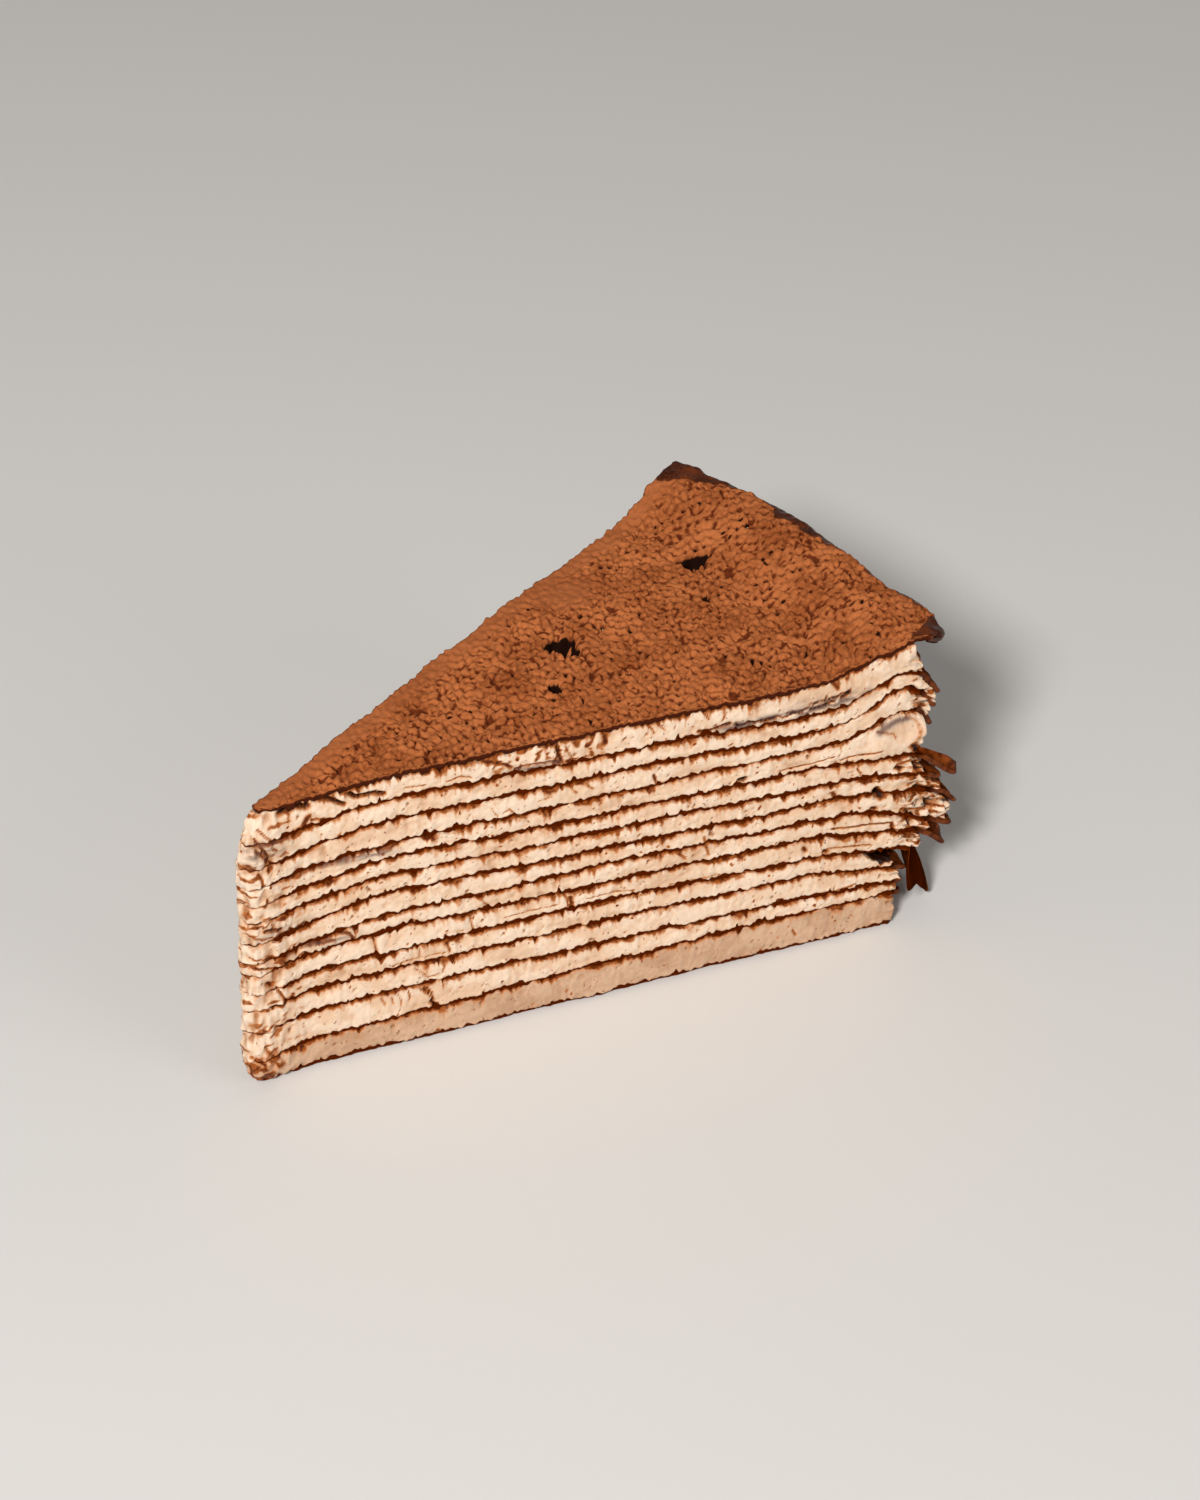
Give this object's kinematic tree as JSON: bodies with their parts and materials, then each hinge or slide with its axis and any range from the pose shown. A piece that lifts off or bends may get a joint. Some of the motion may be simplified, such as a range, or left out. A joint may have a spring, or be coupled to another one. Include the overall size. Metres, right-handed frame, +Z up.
{
  "type": "chocolate mille crepe cake slice",
  "caption": "Wedge-shaped slice of chocolate mille crepe cake: thin dark crepes with chocolate cream between them and a cocoa-dusted top crepe with torn, drooping edges at the rim.",
  "frame": {"origin": "under the middle of the slice's box, on the surface that it rests on", "axes": "+X along the slice's centre line from the tip to the rim, +Y towards the hidden cut face, +Z up"},
  "size_m": [0.106, 0.0596, 0.0531],
  "materials": {
    "top_crepe": "matte cocoa-dusted crepe with small grooves and pits, bare and glossy dark brown at the rim",
    "crepe": "thin moist chocolate crepe, slightly glossy, ragged at the cut",
    "cream": "smooth soft milk-chocolate cream with knife smears and specks, satin"
  },
  "bodies": {
    "root": {"crepe_00": "crepe", "crepe_01": "crepe", "crepe_02": "crepe", "crepe_03": "crepe", "crepe_04": "crepe", "crepe_05": "crepe", "crepe_06": "crepe", "crepe_07": "crepe", "crepe_08": "crepe", "crepe_09": "crepe", "crepe_10": "crepe", "crepe_11": "crepe", "crepe_12": "crepe", "crepe_13": "top_crepe", "cream_00": "cream", "cream_01": "cream", "cream_02": "cream", "cream_03": "cream", "cream_04": "cream", "cream_05": "cream", "cream_06": "cream", "cream_07": "cream", "cream_08": "cream", "cream_09": "cream", "cream_10": "cream", "cream_11": "cream", "cream_12": "cream"}
  },
  "joints": []
}
